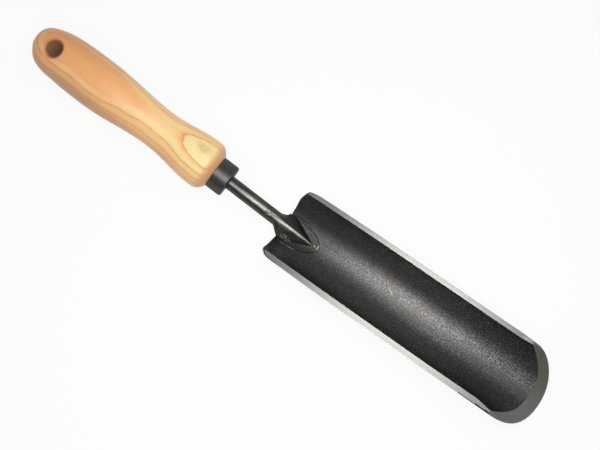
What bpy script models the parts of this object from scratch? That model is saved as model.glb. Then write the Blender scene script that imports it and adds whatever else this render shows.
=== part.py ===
"""A garden trowel: a long half-round steel scoop, a round forged neck and a turned ash handle.

Units are metres. +X points to the scoop's round end and +Z points up out of the scoop, which lies on its back.
The origin is the middle of the tool's length, on the ground. The handle rises behind the scoop.
"""
from math import asin, cos, pi, radians, sin, sqrt

import bmesh
import bpy
from mathutils import Matrix, Vector

# Gap between pieces that touch
CLEARANCE = 0.0003

# Scoop
BLADE_LENGTH = 0.1932
BLADE_RADIUS = 0.0290
BLADE_HALF_ANGLE = radians(66.0)
SHEET = 0.0022
EDGE_LAND = 0.0005
SIDE_BEVEL = 0.0038
TIP_ROUND = 0.0217
TIP_BEVEL = 0.0082
TIP_BEVEL_SPREAD = 0.0110
TIP_BEVEL_POWER = 2.2
REAR_CORNER = 0.0106
BLADE_STRIPS = 19
BEVEL_STRIPS = 3

# Neck, leaf and tang: one forging
NECK_RADIUS = 0.0046
NECK_REACH = 0.0429
NECK_ANGLE = radians(14.5)
SHOULDER_LENGTH = 0.0048
LEAF_LENGTH = 0.0279
LEAF_HALF_WIDTH = 0.0086
LEAF_STRAIGHT = 0.0090
LEAF_EDGE = 0.0009
RIDGE_LENGTH = 0.0246
RIDGE_HEIGHT = 0.0094
RIDGE_FOOT = 0.0114
TANG_LENGTH = 0.0700
TANG_TIP_RADIUS = 0.0024

# Weld beads along the leaf
BEAD_RADIUS = 0.0008
BEAD_START = 0.0010
BEAD_LENGTH = 0.0150
BEAD_STEPS = 8
BEAD_SIDES = 8

# Ferrule
FERRULE_RADIUS = 0.0109
FERRULE_LENGTH = 0.0113
FERRULE_WALL = 0.0013
FERRULE_PLATE = 0.0016
FERRULE_ROUND = 0.0014

# Handle
HANDLE_LENGTH = 0.1405
BULGE_RADIUS = 0.0167
BULGE_FULLNESS = 2.5
BULGE_AT = 0.0090
WAIST_RADIUS = 0.0133
WAIST_AT = 0.0440
SWELL_RADIUS = 0.01675
BUTT_LENGTH = 0.0481
BUTT_FULLNESS = 3.15
BUTT_BLUNTNESS = 0.385
HANG_HOLE_RADIUS = 0.0055
HANG_HOLE_INSET = 0.0186
HANG_HOLE_TURN = radians(8.5)
HANG_HOLE_LEAN = radians(9.0)
HANG_HOLE_CHAMFER = 0.0013
BORE_END_GAP = 0.0010

# Facets around the turned pieces and around the forging
TURNED_SIDES = 44
FORGED_SIDES = 26


def clear_scene():
    """Remove whatever the scene holds."""
    for item in list(bpy.data.objects):
        bpy.data.objects.remove(item, do_unlink=True)


def material(name, colour, metallic, roughness):
    """Make a plain Principled material."""
    made = bpy.data.materials.new(name)
    made.use_nodes = True
    shader = made.node_tree.nodes["Principled BSDF"]
    shader.inputs["Base Color"].default_value = (*colour, 1.0)
    shader.inputs["Metallic"].default_value = metallic
    shader.inputs["Roughness"].default_value = roughness
    made.diffuse_color = (*colour, 1.0)
    return made


def add_object(name, bm, finish, sharp=radians(32.0)):
    """Turn a bmesh into a linked object with one material and sharp edges where its faces turn."""
    bmesh.ops.recalc_face_normals(bm, faces=bm.faces)
    mesh = bpy.data.meshes.new(name)
    bm.to_mesh(mesh)
    bm.free()
    mesh.shade_smooth()
    mesh.set_sharp_from_angle(angle=sharp)
    mesh.materials.append(finish)
    made = bpy.data.objects.new(name, mesh)
    bpy.context.scene.collection.objects.link(made)
    return made


def ease(start, end, share):
    """Go smoothly from start to end as share goes from 0 to 1."""
    return start + (end - start) * (1.0 - cos(pi * share)) / 2.0


def loft(bm, rings):
    """Join rings of equally many points into one closed skin."""
    rows = [[bm.verts.new(point) for point in ring] for ring in rings]
    count = len(rows[0])
    for near, far in zip(rows, rows[1:]):
        for i in range(count):
            j = (i + 1) % count
            bm.faces.new((near[i], near[j], far[j], far[i]))
    bm.faces.new(rows[0])
    bm.faces.new(rows[-1])


def lathe(bm, outline, sides):
    """Turn an outline of (radius, height) points, which starts and ends on the Z axis, or closes on itself."""
    points = [bm.verts.new((radius, 0.0, height)) for radius, height in outline]
    edges = [bm.edges.new(pair) for pair in zip(points, points[1:])]
    if outline[0][0] > 0.0:
        edges.append(bm.edges.new((points[-1], points[0])))
    bmesh.ops.spin(bm, geom=points + edges, cent=(0.0, 0.0, 0.0), axis=(0.0, 0.0, 1.0), angle=2.0 * pi,
                   steps=sides, use_merge=True)
    bmesh.ops.remove_doubles(bm, verts=bm.verts, dist=0.000001)


# Scoop: its section is an arc, and its outline is worked out for each angle on that arc

BLADE_HALF_WIDTH = BLADE_RADIUS * sin(BLADE_HALF_ANGLE)
INNER_RADIUS = BLADE_RADIUS - SHEET
BEVEL_ANGLE = BLADE_HALF_ANGLE - SIDE_BEVEL / BLADE_RADIUS


def blade_angles():
    """Angles across the scoop: even strips in the hollow, and narrow ones over each ground side."""
    side = [BEVEL_ANGLE + (BLADE_HALF_ANGLE - BEVEL_ANGLE) * i / BEVEL_STRIPS for i in range(1, BEVEL_STRIPS + 1)]
    middle = [-BEVEL_ANGLE + 2.0 * BEVEL_ANGLE * i / BLADE_STRIPS for i in range(BLADE_STRIPS + 1)]
    return [-angle for angle in reversed(side)] + middle + side


def rear_edge(angle):
    """Distance of the rear edge from the rear plane, with the rounded corners."""
    past = BLADE_RADIUS * (abs(angle) - BLADE_HALF_ANGLE) + REAR_CORNER
    if past <= 0.0:
        return 0.0
    return REAR_CORNER - sqrt(max(REAR_CORNER**2 - past**2, 0.0))


def front_edge(angle):
    """Distance of the round end from the rear plane: half an ellipse as seen from above."""
    share = min(sin(abs(angle)) / sin(BLADE_HALF_ANGLE), 1.0)
    return BLADE_LENGTH - TIP_ROUND * (1.0 - sqrt(1.0 - share**2))


def bevel_start(angle):
    """Distance at which the round end's ground face starts on the hollow side."""
    share = sin(abs(angle)) / sin(BEVEL_ANGLE)
    start = BLADE_LENGTH - TIP_BEVEL - TIP_BEVEL_SPREAD * share**TIP_BEVEL_POWER
    return min(start, front_edge(angle) - EDGE_LAND)


def side_thickness(angle):
    """Thickness of the sheet, which thins to the land over the ground sides."""
    share = max((abs(angle) - BEVEL_ANGLE) / (BLADE_HALF_ANGLE - BEVEL_ANGLE), 0.0)
    return SHEET + (EDGE_LAND - SHEET) * share


def on_arc(x, angle, radius):
    """A point on an arc about the scoop's centre line."""
    return Vector((REAR_X + x, radius * sin(angle), BLADE_RADIUS - radius * cos(angle)))


def make_blade(finish):
    """The scoop: strips along its length, closed round the edges."""
    bm = bmesh.new()
    rings = []
    for angle in blade_angles():
        rear, start, front = rear_edge(angle), bevel_start(angle), front_edge(angle)
        inner = BLADE_RADIUS - side_thickness(angle)
        rings.append([
            on_arc(rear, angle, BLADE_RADIUS),
            on_arc(start, angle, BLADE_RADIUS),
            on_arc(front, angle, BLADE_RADIUS),
            on_arc(front, angle, BLADE_RADIUS - EDGE_LAND),
            on_arc(start, angle, inner),
            on_arc(rear, angle, inner),
        ])
    loft(bm, rings)
    return add_object("blade", bm, finish, radians(20.0))


# The neck's line: it rises to the rear, and the neck's underside meets the hollow at the rear edge

NECK_HEIGHT = SHEET + CLEARANCE + NECK_RADIUS / cos(NECK_ANGLE)
NECK_LINE = Vector((-cos(NECK_ANGLE), 0.0, sin(NECK_ANGLE)))
NECK_UP = Vector((sin(NECK_ANGLE), 0.0, cos(NECK_ANGLE)))
FERRULE_FRONT = NECK_REACH
SHOULDER_AT = FERRULE_FRONT + FERRULE_LENGTH + CLEARANCE
TENON_LENGTH = FERRULE_LENGTH - FERRULE_PLATE
TENON_RADIUS = FERRULE_RADIUS - FERRULE_WALL - CLEARANCE
TANG_START = SHOULDER_AT - TENON_LENGTH


def swell_at():
    """Where the butt's round begins, from the handle's shoulder."""
    return HANDLE_LENGTH - BUTT_LENGTH


def butt_radius(share):
    """Radius of the butt, from its fullest place to its end."""
    return SWELL_RADIUS * max(1.0 - share**BUTT_FULLNESS, 0.0)**BUTT_BLUNTNESS


def handle_outline():
    """Outside of the handle, from its shoulder to its butt, as (radius, height) points."""
    points = []
    for i in range(7):
        share = (i / 7)**1.4
        rise = 1.0 - (1.0 - share)**BULGE_FULLNESS
        points.append((FERRULE_RADIUS + (BULGE_RADIUS - FERRULE_RADIUS) * rise, BULGE_AT * share))
    for i in range(9):
        points.append((ease(BULGE_RADIUS, WAIST_RADIUS, i / 9), BULGE_AT + (WAIST_AT - BULGE_AT) * i / 9))
    for i in range(10):
        points.append((ease(WAIST_RADIUS, SWELL_RADIUS, i / 10), WAIST_AT + (swell_at() - WAIST_AT) * i / 10))
    for i in range(13):
        share = (1.0 - cos(pi / 2 * i / 12)**(1.0 / BUTT_BLUNTNESS))**(1.0 / BUTT_FULLNESS)
        points.append((butt_radius(share) if i < 12 else 0.0, swell_at() + BUTT_LENGTH * share))
    return points


def rear_reach():
    """How far the tool reaches behind the scoop's rear edge."""
    return max((SHOULDER_AT + height) * cos(NECK_ANGLE) + radius * sin(NECK_ANGLE)
               for radius, height in handle_outline())


REAR_X = (rear_reach() - BLADE_LENGTH) / 2.0


def neck_point(distance):
    """A point on the neck's middle line, this far behind the scoop's rear edge."""
    return Vector((REAR_X, 0.0, NECK_HEIGHT)) + NECK_LINE * distance


def neck_ring(distance, radius):
    """A circle about the neck's line."""
    centre = neck_point(distance)
    ring = []
    for i in range(FORGED_SIDES):
        turn = 2.0 * pi * (i + 0.5) / FORGED_SIDES
        ring.append(centre + Vector((0.0, 1.0, 0.0)) * radius * cos(turn) + NECK_UP * radius * sin(turn))
    return ring


def leaf_half_width(x):
    """Half the leaf's width: straight at first, then half an ellipse."""
    share = max((x - LEAF_STRAIGHT) / (LEAF_LENGTH - LEAF_STRAIGHT), 0.0)
    return LEAF_HALF_WIDTH * sqrt(max(1.0 - share**2, 0.0))


def ridge_rise(x, side):
    """Height of the ridged body on the leaf, whose straight feet run to a point and reach past the leaf behind."""
    left = max(1.0 - x / RIDGE_LENGTH, 0.0)
    foot = RIDGE_FOOT * left
    return RIDGE_HEIGHT * left * max(1.0 - abs(side) / foot, 0.0) if foot > 0.0 else 0.0


def leaf_ring(x):
    """A section of the leaf: the hollow's curve below, and a thin edge and a ridge above."""
    half = leaf_half_width(x)
    seat = INNER_RADIUS - CLEARANCE
    ring = []
    for i in range(FORGED_SIDES):
        turn = 2.0 * pi * (i + 0.5) / FORGED_SIDES
        side = half * cos(turn)
        height = BLADE_RADIUS - sqrt(seat**2 - side**2)
        if sin(turn) > 0.0:
            height += LEAF_EDGE + ridge_rise(x, side)
        ring.append(Vector((REAR_X + x, side, height)))
    return ring


def make_shank(finish):
    """The forging: leaf, shoulder, neck and tang."""
    bm = bmesh.new()
    rings = []
    for i in range(9):
        rings.append(leaf_ring((LEAF_LENGTH - 0.0004) * cos(pi / 2 * i / 9)))
    rings.append(leaf_ring(0.0))
    rings.append(neck_ring(SHOULDER_LENGTH, NECK_RADIUS))
    rings.append(neck_ring((SHOULDER_LENGTH + TANG_START) / 2, NECK_RADIUS))
    rings.append(neck_ring(TANG_START, NECK_RADIUS))
    rings.append(neck_ring(TANG_START + TANG_LENGTH, TANG_TIP_RADIUS))
    loft(bm, rings)
    return add_object("shank", bm, finish, radians(28.0))


def make_weld_bead(name, side, finish):
    """A bead along one side of the leaf, in the corner that it makes with the hollow."""
    centre_radius = INNER_RADIUS - CLEARANCE - BEAD_RADIUS
    rings = []
    for i in range(BEAD_STEPS + 1):
        x = BEAD_START + BEAD_LENGTH * i / BEAD_STEPS
        radius = BEAD_RADIUS * (0.6 if i in (0, BEAD_STEPS) else 1.0)
        angle = side * asin((leaf_half_width(x) + CLEARANCE + BEAD_RADIUS) / centre_radius)
        turns = [2.0 * pi * k / BEAD_SIDES for k in range(BEAD_SIDES)]
        rings.append([
            on_arc(x, angle + side * radius * cos(turn) / centre_radius, centre_radius + radius * sin(turn))
            for turn in turns
        ])
    bm = bmesh.new()
    loft(bm, rings)
    return add_object(name, bm, finish)


def make_ferrule(finish, line):
    """The cap: a tube with a plate across its front, which the neck passes through."""
    hole = NECK_RADIUS + CLEARANCE
    bore = FERRULE_RADIUS - FERRULE_WALL
    outline = [(hole, 0.0)]
    for i in range(5):
        turn = pi / 2 * i / 4
        outline.append((FERRULE_RADIUS - FERRULE_ROUND * (1.0 - sin(turn)), FERRULE_ROUND * (1.0 - cos(turn))))
    outline += [
        (FERRULE_RADIUS, FERRULE_LENGTH),
        (bore, FERRULE_LENGTH),
        (bore, FERRULE_PLATE),
        (hole, FERRULE_PLATE),
    ]
    bm = bmesh.new()
    lathe(bm, outline, TURNED_SIDES)
    made = add_object("ferrule", bm, finish)
    made.parent = line
    made.location = (0.0, 0.0, FERRULE_FRONT)
    return made


def make_hang_hole_cutter(line):
    """A rod with a flared head at each end, which cuts the hang hole and its softened rims.

    The hole is bored a little round from the top of the handle, towards -Y, and its top leans to the rear.
    """
    height = HANDLE_LENGTH - HANG_HOLE_INSET
    share = (height - swell_at()) / BUTT_LENGTH
    crown = butt_radius(share) if share > 0.0 else SWELL_RADIUS
    flare = crown - HANG_HOLE_CHAMFER
    top = crown + HANG_HOLE_CHAMFER
    outline = [
        (0.0, -top),
        (HANG_HOLE_RADIUS + 2.0 * HANG_HOLE_CHAMFER, -top),
        (HANG_HOLE_RADIUS, -flare),
        (HANG_HOLE_RADIUS, flare),
        (HANG_HOLE_RADIUS + 2.0 * HANG_HOLE_CHAMFER, top),
        (0.0, top),
    ]
    bm = bmesh.new()
    lathe(bm, outline, 28)
    bmesh.ops.recalc_face_normals(bm, faces=bm.faces)
    mesh = bpy.data.meshes.new("hang_hole_cutter")
    bm.to_mesh(mesh)
    bm.free()
    cutter = bpy.data.objects.new("hang_hole_cutter", mesh)
    bpy.context.scene.collection.objects.link(cutter)
    cutter.parent = line
    cutter.matrix_local = (Matrix.Translation((0.0, 0.0, SHOULDER_AT + height))
                           @ Matrix.Rotation(-HANG_HOLE_TURN, 4, "Z")
                           @ Matrix.Rotation(pi / 2 - HANG_HOLE_LEAN, 4, "Y"))
    cutter.hide_render = True
    cutter.display_type = "WIRE"
    return cutter


def make_handle(finish, line):
    """The turned handle: tenon, shoulder and grip outside, and the tang's blind hole inside."""
    mouth = NECK_RADIUS + CLEARANCE
    end = TANG_TIP_RADIUS + CLEARANCE
    depth = TANG_LENGTH - TENON_LENGTH + BORE_END_GAP
    outline = [
        (0.0, depth),
        (end, depth),
        (mouth, CLEARANCE - TENON_LENGTH),
        (TENON_RADIUS, CLEARANCE - TENON_LENGTH),
        (TENON_RADIUS, 0.0),
    ] + handle_outline()
    bm = bmesh.new()
    lathe(bm, outline, TURNED_SIDES)
    made = add_object("handle", bm, finish)
    made.parent = line
    made.location = (0.0, 0.0, SHOULDER_AT)
    cut = made.modifiers.new("hang_hole", "BOOLEAN")
    cut.operation = "DIFFERENCE"
    cut.solver = "EXACT"
    cut.object = make_hang_hole_cutter(line)
    return made


def build():
    """Build the whole tool."""
    clear_scene()
    forged = material("forged_steel", (0.035, 0.035, 0.034), 0.6, 0.5)
    bright = material("blackened_neck", (0.02, 0.02, 0.02), 0.7, 0.3)
    weld = material("weld_steel", (0.05, 0.05, 0.05), 0.6, 0.5)
    cap = material("ferrule_black", (0.03, 0.03, 0.032), 0.3, 0.45)
    ash = material("ash_wood", (0.80, 0.53, 0.28), 0.0, 0.45)
    line = bpy.data.objects.new("neck_line", None)
    line.location = neck_point(0.0)
    line.rotation_euler = (0.0, NECK_ANGLE - pi / 2, 0.0)
    bpy.context.scene.collection.objects.link(line)
    make_blade(forged)
    make_shank(bright)
    make_weld_bead("weld_bead_left", 1, weld)
    make_weld_bead("weld_bead_right", -1, weld)
    make_ferrule(cap, line)
    make_handle(ash, line)


build()
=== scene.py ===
"""The looks of the garden trowel: forged and ground steel, welds, a black ferrule and a turned ash handle.

Units are metres in the CAD model's frame: +X points to the scoop's round end and +Z up out of the scoop.
"""

from math import asin, cos, pi, radians, sin, sqrt

import bmesh
import bpy
from mathutils import Matrix, Vector, noise


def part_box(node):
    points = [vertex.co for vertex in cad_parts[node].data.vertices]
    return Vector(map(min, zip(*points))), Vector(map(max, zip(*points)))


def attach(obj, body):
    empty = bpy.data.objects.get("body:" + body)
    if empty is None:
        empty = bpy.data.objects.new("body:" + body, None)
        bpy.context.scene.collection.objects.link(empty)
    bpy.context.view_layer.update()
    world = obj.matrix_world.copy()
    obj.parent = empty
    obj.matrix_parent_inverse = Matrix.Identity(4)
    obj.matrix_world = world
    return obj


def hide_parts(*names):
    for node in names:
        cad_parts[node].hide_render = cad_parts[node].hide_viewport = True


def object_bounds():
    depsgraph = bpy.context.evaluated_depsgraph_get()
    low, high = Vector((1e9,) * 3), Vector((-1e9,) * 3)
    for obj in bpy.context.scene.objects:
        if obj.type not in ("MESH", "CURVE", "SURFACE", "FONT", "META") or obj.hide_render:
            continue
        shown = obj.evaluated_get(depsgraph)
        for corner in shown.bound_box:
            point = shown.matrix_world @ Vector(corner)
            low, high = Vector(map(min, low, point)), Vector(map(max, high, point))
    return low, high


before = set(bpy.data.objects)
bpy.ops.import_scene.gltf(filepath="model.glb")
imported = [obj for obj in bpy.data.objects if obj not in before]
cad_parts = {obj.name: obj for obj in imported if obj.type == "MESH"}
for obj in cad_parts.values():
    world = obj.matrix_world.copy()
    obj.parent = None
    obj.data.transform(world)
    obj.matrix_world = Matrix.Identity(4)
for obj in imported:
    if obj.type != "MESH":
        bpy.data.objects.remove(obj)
cad_low, cad_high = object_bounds()

# Gap between solids that touch, as in the CAD model
CLEARANCE = 0.0003

# Scoop
BLADE_LENGTH = 0.1932
BLADE_RADIUS = 0.0290
BLADE_HALF_ANGLE = radians(66.0)
SHEET = 0.0022
EDGE_LAND = 0.0005
SIDE_BEVEL = 0.0038
TIP_ROUND = 0.0217
TIP_SKEW = 0.055
TIP_POWER = 2.17
TIP_PINCH = 0.0006
TIP_PINCH_LEFT = (0.1610, 0.0120)
TIP_PINCH_RIGHT = (0.1200, 0.0400)
TIP_BEVEL = 0.0082
TIP_BEVEL_SPREAD = 0.0152
TIP_BEVEL_POWER = 2.96
REAR_CORNER = 0.0106
REAR_ROUND = 0.00045
REAR_WAVE = 0.00012
CORNER_SKEW = 0.0016
STRIP_SHIFT = 0.0016
NARROWING_AT = 0.1600
NARROWING_LENGTH = 0.0120
STRIP_NARROWING = 0.0018
PINCH = 0.0009
PINCH_LENGTH = 0.0650
HAMMER_MARK = 0.00005
# Where the ground strips' painted highlight is brightest
PAINTED_HIGHLIGHT_AT = 0.0960
GROUND_WOBBLE = 0.00012
CALM_ANGLE = 0.2
# Where the -Y strip's inner border steps out, as shares of its length, and how many faces stay dark at its
# edge's front and rear and at the bevel's corner
STRIP_WEDGE = (0.945, 0.985)
EDGE_DARK = (18, 4)
BEVEL_DARK = 4

# Neck, leaf and tang
NECK_RADIUS = 0.0046
NECK_REACH = 0.0429
NECK_ANGLE = radians(14.5)
NECK_DRIFT = -0.0003
SHOULDER_LENGTH = 0.0048
SHOULDER_TUCK = 0.45
SHOULDER_STRAIGHT = 0.75
LEAF_LENGTH = 0.0279
LEAF_HALF_WIDTH = 0.0086
LEAF_STRAIGHT = 0.0090
LEAF_EDGE = 0.0009
LEAF_CORNER = 0.0005
LEAF_CHAMFER = 0.0004
LEAF_END = 0.0002
FORGED_SKIN = 0.00005
SLIVER = 0.00002
# Painted highlights at the leaf's tip: their places in X and Y, and how narrow they are in X and in Y
LEAF_GLINTS = ((0.0268, 0.0003, 1.6, 0.45), (0.0238, -0.0003, 0.42, 1.3))
GLINT_LEVEL = 0.0034
FLANGE_RISE = 0.0003
RIDGE_LENGTH = 0.0246
RIDGE_HEIGHT = 0.0083
RIDGE_BEND = 0.234
RIDGE_FOOT = 0.0114
RIDGE_ROUND_TIP = 0.0012
RIDGE_ROUND_REAR = 0.0034
LEAF_SHIFT = -0.0006
PUDDLE_PLACE = (0.0066, -0.0064)
PUDDLE_SIZE = (0.0058, 0.0018)
PUDDLE_DEPTH = 0.00055
PUDDLE_LEVEL = 0.0060
TANG_LENGTH = 0.0700
TANG_TIP_RADIUS = 0.0024
FOLD_AT = 0.0100
FOLD_LENGTH = 0.0050
FOLD_DEPTH = 0.00040
FOLD_SLOPE = 0.12
FOLD_START = 0.35
LAP_AT = 0.0095

# Weld beads
BEAD_SEAT = 0.0002
BEAD_GAP = 0.00025
BEAD_WIDTH = 0.0016
BEAD_HEIGHT = 0.0006
BEAD_START = 0.0010
BEAD_LENGTH = 0.0150
BEAD_RIPPLE = 0.0014
BEAD_SINK = 0.00005

# Ferrule
FERRULE_RADIUS = 0.0109
FERRULE_LENGTH = 0.0113
FERRULE_WALL = 0.0013
FERRULE_PLATE = 0.0016
FERRULE_ROUND = 0.0014
FERRULE_SOFT = 0.0002

# Handle
HANDLE_LENGTH = 0.1405
SHOULDER_STEP = 0.0005
BULGE_RADIUS = 0.0167
BULGE_FULLNESS = 3.0
BULGE_AT = 0.0090
WAIST_RADIUS = 0.0133
WAIST_AT = 0.0440
SWELL_RADIUS = 0.01675
BUTT_LENGTH = 0.0481
BUTT_FULLNESS = 3.15
BUTT_BLUNTNESS = 0.385
HANDLE_BEND = 0.0005
BEND_AT = 0.0500
BEND_LENGTH = 0.0450
BUTT_FLAT = 0.0009
BUTT_FLAT_AT = 0.1330
BUTT_FLAT_REACH = 0.0160
TOP_HALF_WIDTH = 0.0070
TOP_BLEND = 0.0060
HANG_HOLE_RADIUS = 0.0055
HANG_HOLE_INSET = 0.0186
HANG_HOLE_TURN = radians(8.5)
HANG_HOLE_LEAN = radians(9.0)
HANG_HOLE_ROUND = 0.0013
BORE_END_GAP = 0.0010

# Growth rings of the ash, in from the top of the handle's bulge, and a nick and an eye in the wood, all in
# millimetres along the handle's own axes. The nick's axes each have how narrow it is along them
RING_LEAN = radians(9.0)
RING_FIRST = 2.0
RING_SPREAD = 0.74
NICK_PLACE = (12.4, -4.9, 47.1)
EYE_PLACE = (15.8, 4.4, 13.4)
NICK_AXES = (("X", (0.0, 0.94, -0.34), 1.15), ("Y", (0.0, 0.34, 0.94), 6.5), ("Z", (1.0, 0.0, 0.0), 0.5))

# Camera, fitted to the outline in the photograph
CAMERA_TARGET = Vector((0.00820, 0.00464, 0.0100))
CAMERA_DISTANCE = 0.650
CAMERA_AZIMUTH = radians(49.398)
CAMERA_ELEVATION = radians(74.087)
CAMERA_ROLL = radians(-13.663)
CAMERA_LENS = 61.4
SENSOR_WIDTH = 36.0

# Soft boxes close above the tool, two of them for the neck and the leaf's ridge to mirror. Each has its
# place, the point that it is turned to, its length along X, its width and its power
LAMPS = {
    "key": ((0.053, -0.070, 0.400), (0.045, 0.0, 0.0), 0.105, 0.25, 1.03),
    "neck_light": ((0.112, 0.150, 0.390), (0.010, 0.0, 0.0), 0.06, 0.13, 0.19),
    "ridge_light": ((0.240, 0.080, 0.390), (0.030, 0.0, 0.0), 0.08, 0.08, 0.055),
    "handle_light": ((-0.200, -0.150, 0.360), (-0.140, 0.0, 0.05), 0.12, 0.14, 0.12),
}

# Brightness of the world at the horizon and overhead, and how much it gains towards +Y
HORIZON = 0.52
ZENITH = 0.18
FAR_SIDE = 0.42

# How far below the tool the floor lies, and how much of what the camera sees of it is its own light
FLOOR_GAP = 0.0002
FLOOR_GLOW = 0.91


def ease(low, high, share):
    """Go from low to high along half a cosine wave."""
    return low + (high - low) * (1.0 - cos(pi * share)) / 2.0


def ramp(value, begin, length):
    """Go smoothly from 0 to 1 over a length, and hold both ends."""
    return ease(0.0, 1.0, min(max((value - begin) / length, 0.0), 1.0))


def lumps(point, size, seed):
    """Smooth noise between -1 and 1, with lumps of about this size."""
    return noise.noise(Vector(point) / size + Vector((seed, seed * 0.37, 0.0)))


def bridge_rings(bm, rings, slots=lambda i, k: 0, close_ends=True):
    """Skin a list of closed rings of points. slots(i, k) gives the material slot of a face."""
    made = [[bm.verts.new(point) for point in ring] for ring in rings]
    count = len(rings[0])
    for i in range(len(made) - 1):
        for k in range(count):
            following = (k + 1) % count
            face = bm.faces.new((made[i][k], made[i + 1][k], made[i + 1][following], made[i][following]))
            face.material_index = slots(i, k)
    if close_ends:
        bm.faces.new(made[0])
        bm.faces.new(made[-1][::-1])
    return made


def add_object(name, data):
    """Make an object and put it into the scene."""
    made = bpy.data.objects.new(name, data)
    bpy.context.scene.collection.objects.link(made)
    return made


def to_mesh(name, bm, surfaces):
    """Turn a bmesh into an object with these materials."""
    mesh = bpy.data.meshes.new(name)
    bm.to_mesh(mesh)
    bm.free()
    for surface in surfaces:
        mesh.materials.append(surface)
    return add_object(name, mesh)


def add_piece(name, bm, surfaces, node, crease):
    """Turn a bmesh into a piece that stands for a CAD node. Edges between two finishes stay crisp."""
    bmesh.ops.recalc_face_normals(bm, faces=bm.faces)
    for face in bm.faces:
        face.smooth = True
    for edge in bm.edges:
        faces = edge.link_faces
        if len(faces) == 2:
            same = faces[0].material_index == faces[1].material_index
            edge.smooth = same and edge.calc_face_angle(0.0) < crease
    piece = to_mesh(name, bm, surfaces)
    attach(piece, "root")
    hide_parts(node)


class Shading:
    """Short calls that add nodes to a tree. They take values or other nodes' sockets."""

    def __init__(self, tree):
        self.tree = tree

    def feed(self, socket, value):
        """Link a socket to a socket, or give it a value."""
        if isinstance(value, bpy.types.NodeSocket):
            self.tree.links.new(value, socket)
        else:
            socket.default_value = value

    def add(self, kind, inputs=(), **settings):
        """Add a node, with its settings and with its inputs by name or number."""
        node = self.tree.nodes.new("ShaderNode" + kind)
        for key, value in settings.items():
            setattr(node, key, value)
        for key, value in dict(inputs).items():
            self.feed(node.inputs[key], value)
        return node

    def math(self, operation, *values):
        """Work out a number from numbers."""
        return self.add("Math", enumerate(values), operation=operation).outputs[0]

    def product(self, first, *others):
        """Multiply numbers."""
        for other in others:
            first = self.math("MULTIPLY", first, other)
        return first

    def total(self, first, *others):
        """Add numbers up."""
        for other in others:
            first = self.math("ADD", first, other)
        return first

    def apart(self, value, middle):
        """How far one number lies from another."""
        return self.math("ABSOLUTE", self.math("SUBTRACT", value, middle))

    def vector(self, operation, *values):
        """Work out a vector, or the number of a vector, from vectors."""
        node = self.add("VectorMath", enumerate(values), operation=operation)
        return node.outputs["Value" if operation in ("DOT_PRODUCT", "LENGTH") else "Vector"]

    def stretch(self, vector, scale):
        """Multiply a vector's parts."""
        return self.vector("MULTIPLY", vector, scale)

    def along(self, vector, direction):
        """How far a vector reaches along a direction."""
        return self.vector("DOT_PRODUCT", vector, direction)

    def away(self, vector, point, scale=(1.0, 1.0, 1.0)):
        """How far a vector lies from a point, with its parts stretched."""
        return self.vector("LENGTH", self.stretch(self.vector("SUBTRACT", vector, point), scale))

    def spread(self, value, low, high, out_low=0.0, out_high=1.0):
        """Map a range of values smoothly to another, and hold it beyond its ends."""
        inputs = {"Value": value, "From Min": low, "From Max": high, "To Min": out_low, "To Max": out_high}
        return self.add("MapRange", inputs, interpolation_type="SMOOTHSTEP").outputs[0]

    def fade(self, value, low, high, level=1.0):
        """Hold a level up to low, and let it fall smoothly to 0 at high."""
        return self.spread(value, low, high, level, 0.0)

    def blend(self, factor, low, high):
        """Blend two colours, sockets or as they look on a screen."""
        node = self.add("Mix", {0: factor}, data_type="RGBA")
        colours = [socket for socket in node.inputs if socket.type == "RGBA"]
        for socket, value in zip(colours, (low, high)):
            self.feed(socket, value if isinstance(value, bpy.types.NodeSocket) else paint(*value))
        return next(socket for socket in node.outputs if socket.type == "RGBA")

    def layers(self, colour, *coats):
        """Lay coats over a colour, each with how much it covers and its own colour."""
        for factor, shade in coats:
            colour = self.blend(factor, colour, shade)
        return colour


class Surface(Shading):
    """A Principled material. Its textures are sized in millimetres."""

    def __init__(self, name, **values):
        self.material = bpy.data.materials.new(name)
        self.material.use_nodes = True
        super().__init__(self.material.node_tree)
        self.shader = self.tree.nodes["Principled BSDF"]
        for key, value in values.items():
            self.set(key, value)
        self.place = self.stretch(self.add("TexCoord").outputs["Object"], (1000.0, 1000.0, 1000.0))

    def set(self, key, value):
        """Feed one of the shader's own sockets, named with underscores for spaces."""
        self.feed(self.shader.inputs[key.replace("_", " ")], value)

    def noise(self, size, detail=2.0, distortion=0.0, squeeze=None):
        """Noise with lumps of about this size, and as many times narrower in X, Y and Z as squeeze says."""
        place = self.stretch(self.place, squeeze) if squeeze else self.place
        inputs = {"Vector": place, "Scale": 1.0 / size, "Detail": detail, "Distortion": distortion}
        return self.add("TexNoise", inputs).outputs[0]

    def finish(self, colour, roughness, relief, depth):
        """Set the looks and give back the material. A relief of 1 stands this many millimetres high."""
        bump = self.add("Bump", {"Height": relief, "Strength": 1.0, "Distance": depth / 1000.0})
        self.set("Base_Color", colour)
        self.set("Roughness", roughness)
        self.set("Normal", bump.outputs[0])
        return self.material


def paint(*parts):
    """A colour as it looks on a screen, with parts from 11 to 255, made linear for a shader."""
    return (*(((part / 255.0 + 0.055) / 1.055)**2.4 for part in parts), 1.0)


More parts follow.
